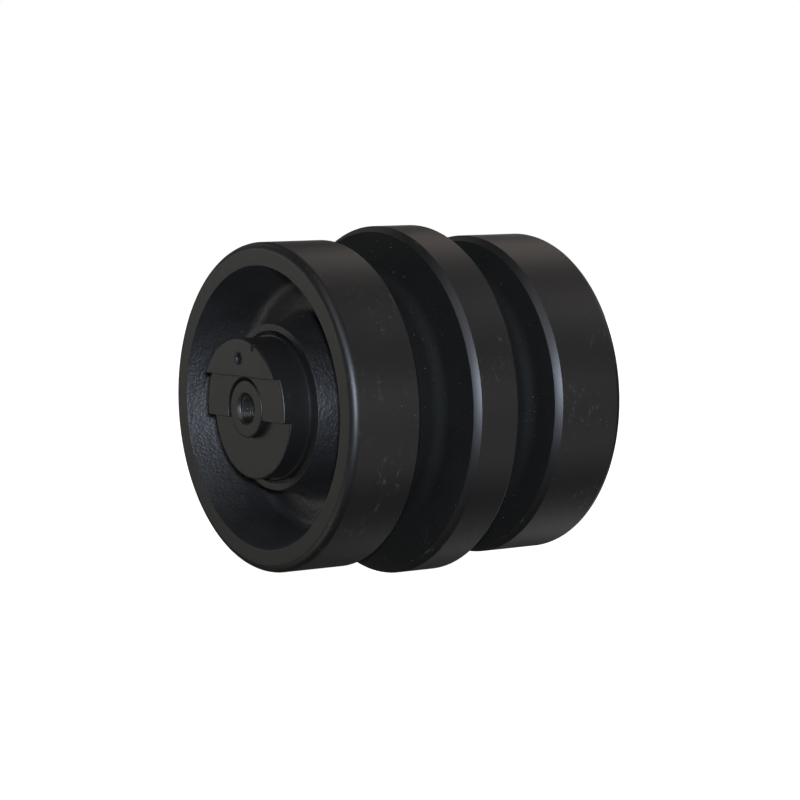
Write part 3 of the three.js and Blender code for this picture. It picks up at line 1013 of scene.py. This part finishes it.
@dataclass
class Shaft:
    """The fixed shaft: O-ring grooves, turned-down ends, threaded ports and an oil drilling through."""

    neck_radius: float = 20.7
    shoulder: float = 104.0
    edge_break: float = 1.0
    groove_floor: float = 26.65
    groove_half: float = 1.9
    port_radius: float = 10.4
    port_depth: float = 24.0
    port_chamfer: float = 1.6
    thread_pitch: float = 1.814
    thread_depth: float = 1.1
    thread_runout: float = 3.0
    plug_radius: float = 5.8
    plug_depth: float = 9.8
    drill_radius: float = 4.0
    cross_drill_radius: float = 3.9
    cross_drill_length: float = 33.12
    columns: int = 128

    def section(self) -> Section:
        """The shaft's half section, outside from the middle and back through the drilling."""
        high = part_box("shaft")[1]
        radius, end = high.z / MM, high.y / MM
        ring_low, ring_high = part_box("right_shaft_oring")
        groove = (ring_low.y + ring_high.y) / 2 / MM
        floor = end - self.port_depth
        plug_floor = floor - self.plug_depth
        return Section(
            [
                Corner(radius, 0, step=12),
                Corner(radius, groove - self.groove_half, 0.2),
                Corner(self.groove_floor, groove - self.groove_half, 0.3),
                Corner(self.groove_floor, groove + self.groove_half, 0.3),
                Corner(radius, groove + self.groove_half, 0.2),
                Corner(radius, self.shoulder, 0.8),
                Corner(self.neck_radius, self.shoulder, 0.6, Zone.FACE),
                Corner(self.neck_radius, end, self.edge_break, Zone.FACE, 3),
                Corner(self.port_radius + self.port_chamfer, end, 0.3, Zone.BORE, 0.8),
                Corner(self.port_radius, end - self.port_chamfer, 0, Zone.BORE, 0.26),
                Corner(self.port_radius, floor + self.thread_runout, 0),
                Corner(self.port_radius, floor, 0.5),
                Corner(self.plug_radius, floor, 0.3),
                Corner(self.plug_radius, plug_floor),
                Corner(self.drill_radius, plug_floor - 2.0, step=20),
                Corner(self.drill_radius, 0),
            ],
            mirrored=True,
            arc_step=18,
        )

    def thread(self, points: np.ndarray, row_numbers: np.ndarray, angles: np.ndarray) -> np.ndarray:
        """Raises a helical ridge on the wall of each port, in millimetres."""
        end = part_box("shaft")[1].y / MM
        radius = np.hypot(points[..., 0], points[..., 2])
        place = np.abs(points[..., 1])
        top, bottom = end - self.port_chamfer, end - self.port_depth + self.thread_runout
        on_wall = np.abs(radius - self.port_radius) < 0.05
        ramp = np.clip((top - place) / 1.6, 0, 1) * np.clip((place - bottom) / 1.6, 0, 1)
        turn = points[..., 1] / self.thread_pitch - angles / (2 * math.pi)
        tooth = 1 - np.abs(2 * (turn - np.floor(turn)) - 1)
        shaped = np.clip(1.25 * tooth - 0.12, 0, 1)
        return np.where(on_wall, shaped * ramp * self.thread_depth, 0.0)

    def build(self, finishes: Finishes) -> bpy.types.Object:
        """Builds and dresses the shaft."""
        mesh = turned_mesh("axle_shaft", self.section(), even_angles(self.columns), self.thread)
        materials = [finishes.tread, finishes.collar, finishes.cast, finishes.pin]
        dress(mesh, materials)
        shaft = new_object("axle_shaft", mesh)
        drilling = prism("cut_drilling", circle(self.cross_drill_radius, 32), -self.cross_drill_length, 0)
        drilling.data.transform(Matrix.Rotation(-math.pi / 2, 4, "X"))
        carve(shaft, [*at_both_ends(lock_pin_bore), drilling])
        close_mesh(shaft.data)
        return seat(shaft, SHAFT_BODY, ["shaft"], materials)


# --------------------------------------------------------------------------------------------------
# End collars
# --------------------------------------------------------------------------------------------------


@dataclass
class EndCollar:
    """A collar with a stepped outer face: low face, land across the axle and raised segment above it."""

    side: Side
    radius: float = 51.4
    neck_bore: float = 21.0
    nose_radius: float = 38.0
    nose_bore: float = 30.3
    shoulder: float = 104.3
    pocket_radius: float = 49.4
    pocket_floor: float = 110.65
    skirt_start: float = 101.25
    bead_end: float = 111.1
    segment_step: float = 5.4
    land_step: float = 6.0
    land_low: float = -7.2
    land_high: float = 24.0
    recess_radius: float = 22.8
    notch_middle: float = -19.0
    notch_width: float = 3.6
    notch_floor: float = 43.0
    notch_depth: float = 1.8
    screw_height: float = 36.6
    screw_radius: float = 3.4
    screw_depth: float = 12.9
    screw_chamfer: float = 2.0
    rim_break: float = 1.24
    bead_break: float = 0.2
    step_break: float = 0.44
    root_break: float = 0.32
    column_step: float = 2.2

    def _columns(self) -> np.ndarray:
        """Angles of the vertex columns, with one wherever a straight step meets the round side."""
        keys = [0.0, math.pi / 2, math.pi, 3 * math.pi / 2]
        for height in (self.land_low, self.land_high):
            angle = math.asin(height / self.radius)
            keys += [angle % (2 * math.pi), math.pi - angle]
        keys = sorted(keys) + [2 * math.pi]
        columns: list[float] = []
        for start, end in zip(keys, keys[1:]):
            count = max(1, round(math.degrees(end - start) / self.column_step))
            columns += [start + (end - start) * k / count for k in range(count)]
        return np.array(columns)

    def _section(self, outer_face: float, inner_face: float) -> Section:
        """The collar's section before its outer face is stepped."""
        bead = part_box("right_end_collar")[1].x / MM
        return Section(
            [
                Corner(self.nose_bore, inner_face),
                Corner(self.nose_radius, inner_face),
                Corner(self.nose_radius, self.pocket_floor),
                Corner(self.pocket_radius, self.pocket_floor),
                Corner(self.pocket_radius, self.skirt_start),
                Corner(bead, self.skirt_start),
                Corner(bead, self.bead_end),
                Corner(self.radius, self.bead_end),
                Corner(self.radius, outer_face),
                Corner(self.neck_bore, outer_face),
                Corner(self.neck_bore, self.shoulder),
                Corner(self.nose_bore, self.shoulder),
            ],
            support=1000.0,
        )

    def _cutters(self, outer_face: float) -> list[bpy.types.Object]:
        """What is milled and drilled out of the outer face."""
        land_face = outer_face - self.segment_step
        low_face = land_face - self.land_step
        over, wide = outer_face + 5, self.radius + 6
        reach, foot = self.recess_radius, self.land_low - 3
        recess = [(reach * math.cos(a), reach * math.sin(a)) for a in np.linspace(0, math.pi, 61)]
        recess += [(-reach, foot), (reach, foot)]
        hole = circle(self.screw_radius, 40, 0, self.screw_height)
        return [
            prism("cut_low", rectangle(-wide, wide, -wide, self.land_low), low_face, over),
            prism("cut_land", rectangle(-wide, wide, self.land_low - 1, self.land_high), land_face, over),
            prism("cut_recess", recess, low_face, over),
            prism("cut_hole", hole, outer_face - self.screw_depth, over),
            lock_pin_bore(),
        ]

    def _notch(self, outer_face: float) -> bpy.types.Object:
        """The small slot in the segment's rim."""
        low = self.notch_middle - self.notch_width / 2
        high = self.notch_middle + self.notch_width / 2
        outline = rectangle(low, high, self.notch_floor, self.radius + 6)
        return prism("cut_notch", outline, outer_face - self.notch_depth, outer_face + 5)

    def _break_edges(self, collar: bpy.types.Object, outer_face: float) -> None:
        """Bevels the edges: widest at the screw's hole, wide on the outer rim, fine on the steps."""
        work = bmesh.new()
        work.from_mesh(collar.data)
        bmesh.ops.remove_doubles(work, verts=work.verts, dist=2e-6)
        bmesh.ops.dissolve_limit(
            work, angle_limit=math.radians(0.4), use_dissolve_boundaries=False, verts=work.verts,
            edges=work.edges
        )
        weight = work.edges.layers.float.new("bevel_weight_edge")
        for edge in work.edges:
            if len(edge.link_faces) != 2 or edge.calc_face_angle() < math.radians(35):
                continue
            middle = (edge.verts[0].co + edge.verts[1].co) / 2 / MM
            radius = math.hypot(middle.x, middle.z)
            near_hole = math.hypot(middle.x, middle.z - self.screw_height) < self.screw_radius + 1
            convex = edge.is_convex
            if near_hole and middle.y > outer_face - 1:
                edge[weight] = 1.0
            elif convex and radius > self.radius - 0.6 and middle.y > self.bead_end + 1:
                edge[weight] = self.rim_break / self.screw_chamfer
            elif middle.y < self.bead_end + 1:
                edge[weight] = self.bead_break / self.screw_chamfer
            elif convex:
                edge[weight] = self.step_break / self.screw_chamfer
            elif middle.y > outer_face - self.segment_step - self.land_step - 1:
                edge[weight] = self.root_break / self.screw_chamfer
        work.to_mesh(collar.data)
        work.free()
        bevel = collar.modifiers.new("edges", "BEVEL")
        bevel.limit_method = "WEIGHT"
        bevel.width = self.screw_chamfer * MM
        bevel.segments = 3
        bevel.use_clamp_overlap = False
        bevel.miter_outer = "MITER_ARC"
        freeze(collar)

    def build(self, finishes: Finishes) -> bpy.types.Object:
        """Builds and dresses the collar."""
        low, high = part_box("right_end_collar")
        outer_face, inner_face = high.y / MM, low.y / MM
        name = f"{self.side.word}_collar_casting"
        mesh = turned_mesh(name, self._section(outer_face, inner_face), self._columns())
        collar = new_object(name, mesh)
        carve(collar, self._cutters(outer_face))
        self._break_edges(collar, outer_face)
        carve(collar, [self._notch(outer_face)])
        collar.data.transform(self.side.turn)
        close_mesh(collar.data, sharp=34)
        weighted = collar.modifiers.new("normals", "WEIGHTED_NORMAL")
        weighted.keep_sharp = True
        weighted.weight = 80
        freeze(collar)
        return seat(collar, SHAFT_BODY, [f"{self.side.word}_end_collar"], [finishes.collar])


# --------------------------------------------------------------------------------------------------
# Bushes, seals, pins and screws
# --------------------------------------------------------------------------------------------------


@dataclass
class EndFittings:
    """The small turned pieces at one end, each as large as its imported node."""

    side: Side
    flange_wall: float = 6.0
    flange_thickness: float = 4.0
    bush_wall: float = 5.7
    oil_groove_half: float = 2.5
    oil_groove_depth: float = 1.2
    thrust_width: float = 11.1
    ring_edge: float = 0.3
    seal_width: float = 11.4
    seal_ramp: float = 7.0
    seal_lip: float = 3.0
    toric_section: float = 2.8
    oring_section: float = 1.6
    columns: int = 128
    pin_columns: int = 48

    def _sizes(self, node: str) -> tuple[float, float, float]:
        """Outer radius, inboard end and outboard end of a right-hand round node, in millimetres."""
        low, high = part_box(f"right_{node}")
        return high.z / MM, low.y / MM, high.y / MM

    def _seat_turned(
        self,
        node: str,
        name: str,
        corners: Sequence[Corner],
        body: str,
        material: bpy.types.Material,
    ) -> bpy.types.Object:
        """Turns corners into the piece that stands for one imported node."""
        section = Section(corners, arc_step=22)
        mesh = turned_mesh(f"{self.side.word}_{name}", section, even_angles(self.columns))
        mesh.transform(self.side.turn)
        piece = new_object(mesh.name, mesh)
        if node == "flanged_bush":
            bore = dowel_bore()
            bore.data.transform(self.side.turn)
            carve(piece, [bore])
            close_mesh(piece.data)
        return seat(piece, body, [f"{self.side.word}_{node}"], [material])

    def bush(self, finishes: Finishes) -> None:
        """The flanged bush, with an oil groove round the middle of its bore."""
        reach, start, end = self._sizes("flanged_bush")
        outer = reach - self.flange_wall
        bore = outer - self.bush_wall
        shoulder = end - self.flange_thickness
        middle, half, floor = (start + shoulder) / 2, self.oil_groove_half, bore + self.oil_groove_depth
        corners = [
            Corner(bore, start, 0.6),
            Corner(outer, start, 0.8, step=12),
            Corner(outer, shoulder, 0.3),
            Corner(reach, shoulder, 0.4),
            Corner(reach, end, 0.6),
            Corner(bore, end, 0.8, step=12),
            Corner(bore, middle + half, 0.4),
            Corner(floor, middle + half, 0.6),
            Corner(floor, middle - half, 0.6),
            Corner(bore, middle - half, 0.4, step=12),
        ]
        self._seat_turned("flanged_bush", "bush_sleeve", corners, SHELL_BODY, finishes.bronze)

    def thrust_ring(self, finishes: Finishes) -> None:
        """The thrust ring between the bush's flange and the collar's nose."""
        reach, start, end = self._sizes("thrust_ring")
        bore = reach - self.thrust_width
        corners = [
            Corner(radius, place, self.ring_edge)
            for radius, place in ((bore, start), (reach, start), (reach, end), (bore, end))
        ]
        self._seat_turned("thrust_ring", "thrust_washer", corners, SHAFT_BODY, finishes.bronze)

    def seal_ring(self, node: str, name: str, body: str, faces_out: bool, finishes: Finishes) -> None:
        """A lapped seal ring with a lip at its running face and a ramp that carries the rubber ring."""
        reach, start, end = self._sizes(node)
        bore, outer, lip = reach - self.seal_width, reach - self.seal_ramp, self.seal_lip
        face, back = (end, start) if faces_out else (start, end)
        inward = -1.0 if faces_out else 1.0
        corners = [
            Corner(bore, face, 0.3),
            Corner(reach, face, 0.5),
            Corner(reach, face + inward * lip, 0.6),
            Corner(outer, face + inward * (lip + 0.3), 1.2),
            Corner(outer - 0.6, back, 0.6),
            Corner(bore, back, 0.4),
        ]
        self._seat_turned(node, name, corners, body, finishes.seal_iron)

    def rubber_ring(self, node: str, name: str, section_radius: float, body: str, finishes: Finishes) -> None:
        """A rubber ring of round section."""
        reach, start, end = self._sizes(node)
        middle, centre = (start + end) / 2, reach - section_radius
        corners = [
            Corner(centre + section_radius * math.cos(a), middle + section_radius * math.sin(a))
            for a in even_angles(28)
        ]
        self._seat_turned(node, name, corners, body, finishes.rubber)

    def dowel(self, finishes: Finishes) -> None:
        """The dowel that keeps the bush from turning in the shell."""
        low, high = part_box("right_bush_dowel")
        radius = (high.z - low.z) / 2 / MM
        x = (low.x + high.x) / 2
        start, end = low.y / MM, high.y / MM
        corners = [Corner(0, start), Corner(radius, start, 0.6), Corner(radius, end, 0.6), Corner(0, end)]
        name = f"{self.side.word}_dowel_pin"
        mesh = turned_mesh(name, Section(corners, arc_step=20), even_angles(self.pin_columns))
        mesh.transform(Matrix.Translation((x, 0, 0)))
        mesh.transform(self.side.turn)
        piece = new_object(name, mesh)
        seat(piece, SHELL_BODY, [f"{self.side.word}_bush_dowel"], [finishes.pin])

    def lock_pin(self, finishes: Finishes) -> None:
        """The tangential pin that locks the collar to the shaft's neck."""
        low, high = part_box("right_lock_pin")
        radius = (high.x - low.x) / 2 / MM
        start, end = low.z / MM, high.z / MM
        corners = [Corner(0, start), Corner(radius, start, 1.0), Corner(radius, end, 0.8), Corner(0, end)]
        name = f"{self.side.word}_collar_pin"
        mesh = turned_mesh(name, Section(corners, arc_step=20), even_angles(self.pin_columns))
        mesh.transform(Matrix.Rotation(math.pi / 2, 4, "X"))
        mesh.transform(Matrix.Translation(((low.x + high.x) / 2, (low.y + high.y) / 2, 0)))
        mesh.transform(self.side.turn)
        piece = new_object(name, mesh)
        seat(piece, SHAFT_BODY, [f"{self.side.word}_lock_pin"], [finishes.pin])

    def socket_screw(self, node: str, name: str, across_flats: float, depth: float, pitch: float,
                     finishes: Finishes, threads: bpy.types.NodeTree) -> None:
        """A headless screw with a hexagonal socket and a helical thread."""
        low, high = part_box(f"right_{node}")
        radius = (high.x - low.x) / 2 / MM
        height = (low.z + high.z) / 2
        start, end = low.y / MM, high.y / MM
        core = radius - 0.5 * pitch
        corners = [
            Corner(0, start),
            Corner(core, start, 0.5),
            Corner(core, start + 1.5, 0),
            Corner(core, end - 0.6, 0),
            Corner(core, end, 0.5),
            Corner(0, end),
        ]
        piece_name = f"{self.side.word}_{name}"
        mesh = turned_mesh(piece_name, Section(corners, arc_step=20), even_angles(self.pin_columns))
        piece = new_object(piece_name, mesh)
        hexagon = circle(across_flats / math.sqrt(3), 6)
        carve(piece, [prism("cut_socket", hexagon, end - depth, end + 2)])
        close_mesh(piece.data)
        turns = math.floor((end - start - 2 * pitch) / pitch)
        ridge = grown(
            piece_name + "_thread", bpy.data.meshes.new("seed"), threads,
            {
                "Radius": core * MM, "Pitch": pitch * MM, "Turns": float(turns), "Ridge": 0.5 * pitch * MM,
                "Offset": (0, (end - pitch) * MM, 0), "Material": finishes.pin,
            },
        )
        for part in (piece, ridge):
            part.data.transform(Matrix.Translation((0, 0, height)))
            part.data.transform(self.side.turn)
        seat(piece, SHAFT_BODY, [f"{self.side.word}_{node}"], [finishes.pin])
        seat(ridge, SHAFT_BODY, [], [finishes.pin])

    def build(self, finishes: Finishes, threads: bpy.types.NodeTree) -> None:
        """Builds every small piece of this end."""
        self.bush(finishes)
        self.thrust_ring(finishes)
        self.dowel(finishes)
        self.seal_ring("turning_seal_ring", "turning_seal", SHELL_BODY, True, finishes)
        self.seal_ring("standing_seal_ring", "standing_seal", SHAFT_BODY, False, finishes)
        self.rubber_ring("turning_toric_ring", "turning_toric", self.toric_section, SHELL_BODY, finishes)
        self.rubber_ring("standing_toric_ring", "standing_toric", self.toric_section, SHAFT_BODY, finishes)
        self.rubber_ring("shaft_oring", "neck_oring", self.oring_section, SHAFT_BODY, finishes)
        self.lock_pin(finishes)
        self.socket_screw("collar_screw", "face_screw", 3.0, 3.0, 1.0, finishes, threads)
        self.socket_screw("oil_plug", "port_plug", 5.0, 4.0, 1.25, finishes, threads)


# --------------------------------------------------------------------------------------------------
# Studio
# --------------------------------------------------------------------------------------------------


@dataclass(frozen=True)
class SoftBox:
    """A rectangular studio light that looks at the roller."""

    name: str
    azimuth: float
    elevation: float
    distance: float
    width: float
    height: float
    power: float
    colour: Colour = (1.0, 1.0, 1.0)

    def build(self) -> None:
        """Hangs the light."""
        lamp = bpy.data.lights.new(self.name, "AREA")
        lamp.shape = "RECTANGLE"
        lamp.size, lamp.size_y = self.width, self.height
        lamp.energy = self.power
        lamp.color = self.colour
        made = bpy.data.objects.new(self.name, lamp)
        bpy.context.scene.collection.objects.link(made)
        back = heading(self.azimuth, self.elevation)
        made.location = back * self.distance
        made.rotation_mode = "QUATERNION"
        made.rotation_quaternion = (-back).to_track_quat("-Z", "Y")
        made.visible_camera = False


def heading(azimuth: float, elevation: float) -> Vector:
    """Unit vector from the roller towards a viewer; azimuth 0 looks along +Y, in degrees."""
    a, e = math.radians(azimuth), math.radians(elevation)
    return Vector((math.sin(a) * math.cos(e), -math.cos(a) * math.cos(e), math.sin(e)))


@dataclass
class Studio:
    """Camera, lights, pale floor and backdrop."""

    camera_azimuth: float = 55.07
    camera_elevation: float = 5.10
    camera_roll: float = -0.44
    camera_distance: float = 2.251
    lens: float = 135.7
    shift: tuple[float, float] = (0.00475, -0.0019)
    floor_size: float = 60.0

    def camera(self) -> None:
        """Sets up the camera."""
        data = bpy.data.cameras.new("camera")
        data.lens = self.lens
        data.sensor_width = 36.0
        data.shift_x, data.shift_y = self.shift
        data.clip_start, data.clip_end = 0.05, 200.0
        camera = bpy.data.objects.new("camera", data)
        bpy.context.scene.collection.objects.link(camera)
        back = heading(self.camera_azimuth, self.camera_elevation)
        camera.location = back * self.camera_distance
        camera.rotation_mode = "QUATERNION"
        roll = Matrix.Rotation(math.radians(self.camera_roll), 4, "Z").to_quaternion()
        camera.rotation_quaternion = (-back).to_track_quat("-Z", "Y") @ roll
        bpy.context.scene.camera = camera

    def lights(self) -> None:
        """Hangs the lights."""
        boxes = [
            SoftBox("key_light", 56.3, 7.6, 2.3, 0.09, 0.09, 66.0, (0.75, 0.84, 1.0)),
            SoftBox("left_light", -50, 5, 3.0, 1.3, 1.1, 9.7, (1.0, 0.97, 0.88)),
            SoftBox("front_light", 30, 42, 3.0, 1.2, 1.2, 14.0),
            SoftBox("upper_left_light", -84, 35, 3.0, 1.2, 1.2, 2.4, (1.0, 0.97, 0.93)),
            SoftBox("fill_light", 54, -3, 3.0, 1.0, 0.8, 3.5, (0.80, 0.88, 1.0)),
            SoftBox("rim_light", 228, 3, 3.0, 1.2, 1.0, 6.0),
            SoftBox("right_light", 116, 5, 3.0, 1.6, 1.1, 8.0, (1.0, 0.93, 0.88)),
            SoftBox("low_right_light", 131, -27, 3.0, 1.5, 1.2, 6.0, (1.0, 0.97, 0.95)),
            SoftBox("back_light", 165, 34, 3.0, 1.4, 1.4, 11.0, (1.0, 0.93, 0.90)),
            SoftBox("far_light", 215, 42, 3.0, 1.2, 1.2, 5.2, (1.0, 0.90, 0.84)),
            SoftBox("top_light", 55, 75, 3.0, 1.2, 1.2, 5.5, (1.0, 0.97, 0.90)),
            SoftBox("low_light", -20, -35, 3.0, 1.6, 1.4, 10.5, (1.0, 0.90, 0.75)),
            SoftBox("low_back_light", 200, -35, 3.0, 1.4, 1.4, 6.4),
        ]
        for box in boxes:
            box.build()

    def world(self) -> None:
        """A white backdrop that lights the roller from behind more than from the front."""
        world = bpy.data.worlds.new("backdrop")
        world.use_nodes = True
        bpy.context.scene.world = world
        tree = world.node_tree
        shade = tree.nodes["Background"]
        direction = tree.nodes.new("ShaderNodeTexCoord").outputs["Generated"]
        dot = tree.nodes.new("ShaderNodeVectorMath")
        dot.operation = "DOT_PRODUCT"
        dot.inputs[1].default_value = -heading(self.camera_azimuth, 0)
        tree.links.new(direction, dot.inputs[0])
        spread = tree.nodes.new("ShaderNodeMapRange")
        spread.interpolation_type = "SMOOTHSTEP"
        for name, value in (("From Min", -0.5), ("From Max", 0.9), ("To Min", 0.012), ("To Max", 0.05)):
            spread.inputs[name].default_value = value
        tree.links.new(dot.outputs["Value"], spread.inputs["Value"])
        seen = tree.nodes.new("ShaderNodeLightPath").outputs["Is Camera Ray"]
        strength = tree.nodes.new("ShaderNodeMath")
        strength.operation = "MAXIMUM"
        tree.links.new(seen, strength.inputs[0])
        tree.links.new(spread.outputs["Result"], strength.inputs[1])
        shade.inputs["Color"].default_value = (1, 1, 1, 1)
        tree.links.new(strength.outputs[0], shade.inputs["Strength"])

    def floor(self) -> None:
        """A plain pale floor that the flange stands on."""
        half, height = self.floor_size / 2, CAD_BOX[0].z
        mesh = bpy.data.meshes.new("floor")
        corners = [(-half, -half, height), (half, -half, height), (half, half, height), (-half, half, height)]
        mesh.from_pydata(corners, [], [(0, 1, 2, 3)])
        floor = new_object("floor", mesh)
        shader = Shader("pale_floor")
        mesh.materials.append(
            shader.finish(
                Base_Color=(0.9, 0.9, 0.9), Roughness=0.9, Specular_IOR_Level=0.0,
                Emission_Color=(1.0, 1.0, 1.0), Emission_Strength=1.0
            )
        )
        floor.visible_diffuse = False
        floor.visible_glossy = False
        floor.visible_shadow = False

    def build(self) -> None:
        """Builds the studio."""
        self.camera()
        self.lights()
        self.world()
        self.floor()
        bpy.context.scene.view_settings.view_transform = "Standard"


# --------------------------------------------------------------------------------------------------
# Assembly
# --------------------------------------------------------------------------------------------------


def main() -> None:
    """Builds every piece, then the studio."""
    logging.basicConfig(level=logging.INFO, format="%(message)s")
    finishes = Finishes()
    shell = RollerShell().build(finishes)
    CastingGrit().build(shell, finishes)
    Shaft().build(finishes)
    threads = thread_tree()
    for side in Side:
        EndCollar(side).build(finishes)
        EndFittings(side).build(finishes, threads)
    Studio().build()


if __name__ == "__main__":
    main()
